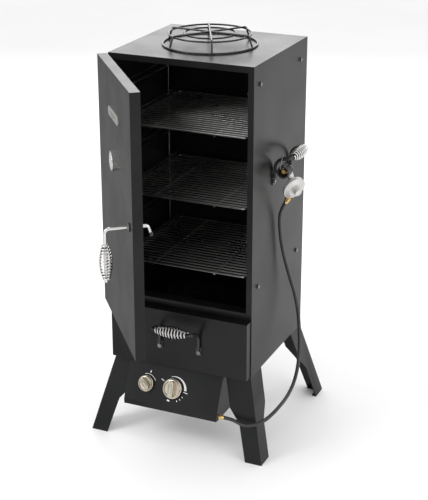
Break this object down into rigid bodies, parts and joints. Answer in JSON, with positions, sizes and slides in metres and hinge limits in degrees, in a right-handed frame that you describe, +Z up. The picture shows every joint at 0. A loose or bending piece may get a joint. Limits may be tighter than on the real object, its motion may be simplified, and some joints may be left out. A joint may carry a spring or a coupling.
{
  "type": "gas cabinet smoker",
  "caption": "Upright gas smoker: sheet-steel cabinet on splayed legs with a hinged door, wire grates, pan drawer, burner, control box, hose and regulator.",
  "frame": {"origin": "on the floor under the centre of the cabinet", "axes": "+X to the right of the object, +Y to its back, +Z up; the door opens towards -Y"},
  "size_m": [0.5501, 0.8025, 1.1155],
  "materials": {
    "black_paint": "semi-gloss baked paint",
    "black_rod": "gloss black paint",
    "bright_coil": "bright plated",
    "zinc_bolts": "zinc plated",
    "grate_chrome": "plated wire",
    "knob_metal": "satin",
    "valve_brass": "machined",
    "shaft_steel": "turned",
    "regulator_zinc": "satin grey",
    "hose_rubber": "smooth",
    "black_plastic": "moulded",
    "burner_iron": "as cast",
    "tube_steel": "drawn",
    "ceramic_white": "glazed ceramic",
    "pan_enamel": "gloss enamel",
    "dial_metal": "polished",
    "needle_black": "matt",
    "clear_glass": "clear",
    "badge_metal": "satin"
  },
  "bodies": {
    "cabinet": {"back_panel": "black_paint", "burner": "burner_iron", "burner_bracket": "black_paint", "burner_tube": "tube_steel", "control_box": "black_paint", "control_box_screws": "zinc_bolts", "cooking_grate_lower": "grate_chrome", "cooking_grate_middle": "grate_chrome", "cooking_grate_upper": "grate_chrome", "drawer_runners": "black_paint", "floor_panel": "black_paint", "front_crossbar": "black_paint", "gas_hose": "hose_rubber", "gas_valve": "valve_brass", "hinge_cabinet_leaves": "black_paint", "hinge_pins": "zinc_bolts", "hose_inlet_fitting": "valve_brass", "igniter_body": "black_plastic", "igniter_electrode": "ceramic_white", "inlet_nipple": "valve_brass", "left_side_panel": "black_paint", "leg_back_left": "black_paint", "leg_back_right": "black_paint", "leg_bolts": "zinc_bolts", "leg_front_left": "black_paint", "leg_front_right": "black_paint", "rack_bolts": "zinc_bolts", "rack_support_left": "grate_chrome", "rack_support_right": "grate_chrome", "regulator_body": "regulator_zinc", "regulator_hook": "zinc_bolts", "regulator_outlet_fitting": "valve_brass", "regulator_vent_cap": "regulator_zinc", "right_side_panel": "black_paint", "side_handle_bolts": "zinc_bolts", "side_handle_grips": "bright_coil", "side_handle_rods": "black_rod", "top_panel": "black_paint"},
    "door": {"door_panel": "black_paint", "hinge_door_leaves": "black_paint", "thermometer_case": "dial_metal", "thermometer_glass": "clear_glass", "door_badge": "badge_metal", "latch_bushing": "black_rod"},
    "latch": {"latch_rod": "bright_coil", "latch_ball": "black_rod", "latch_grip": "bright_coil"},
    "drawer": {"drawer_front": "black_paint", "drawer_frame": "black_paint", "drawer_handle_rod": "black_rod", "drawer_handle_grip": "bright_coil", "drawer_handle_bolts": "zinc_bolts"},
    "chip_tray": {"wood_chip_tray": "pan_enamel"},
    "water_pan_body": {"water_pan": "pan_enamel"},
    "burner_control": {"valve_stem": "shaft_steel", "burner_knob": "knob_metal"},
    "igniter_control": {"igniter_knob": "knob_metal"},
    "tank_nut": {"tank_connector_nut": "black_plastic"},
    "needle": {"thermometer_needle": "needle_black"},
    "stand": {"wire_stand": "black_rod"}
  },
  "joints": [
    {"name": "door_hinge", "type": "hinge", "parent": "cabinet", "child": "door", "pos_m": [-0.2095, -0.197, 0.74], "axis": [0, 0, 1], "range_deg": [-108.8, 51.2]},
    {"name": "latch_turn", "type": "hinge", "parent": "door", "child": "latch", "pos_m": [0.00958, -0.50139, 0.739], "axis": [-0.7793, -0.6266, 0], "range_deg": [0, 90]},
    {"name": "thermometer_sweep", "type": "hinge", "parent": "door", "child": "needle", "pos_m": [-0.0981, -0.37625, 0.856], "axis": [-0.7793, -0.6266, 0], "range_deg": [-270, 0]},
    {"name": "drawer_slide", "type": "slide", "parent": "cabinet", "child": "drawer", "axis": [0, -1, 0], "range_m": [0, 0.25]},
    {"name": "chip_tray_lift", "type": "slide", "parent": "drawer", "child": "chip_tray", "axis": [0, 0, 1], "range_m": [0, 0.045]},
    {"name": "water_pan_lift", "type": "slide", "parent": "drawer", "child": "water_pan_body", "axis": [0, 0, 1], "range_m": [0, 0.045]},
    {"name": "burner_knob_turn", "type": "hinge", "parent": "cabinet", "child": "burner_control", "pos_m": [-0.01, -0.22883, 0.16993], "axis": [0, -0.9178, 0.3971], "range_deg": [-180, 0]},
    {"name": "igniter_turn", "type": "hinge", "parent": "cabinet", "child": "igniter_control", "pos_m": [-0.091, -0.22883, 0.16993], "axis": [0, -0.9178, 0.3971], "range_deg": [0, 75], "stiffness_Nm_per_rad": 0.05},
    {"name": "tank_nut_spin", "type": "hinge", "parent": "cabinet", "child": "tank_nut", "pos_m": [0.236, -0.052, 0.776], "axis": [0, 1, 0], "continuous": true},
    {"name": "stand_lift", "type": "slide", "parent": "cabinet", "child": "stand", "axis": [0, 0, 1], "range_m": [0, 0.15]}
  ]
}
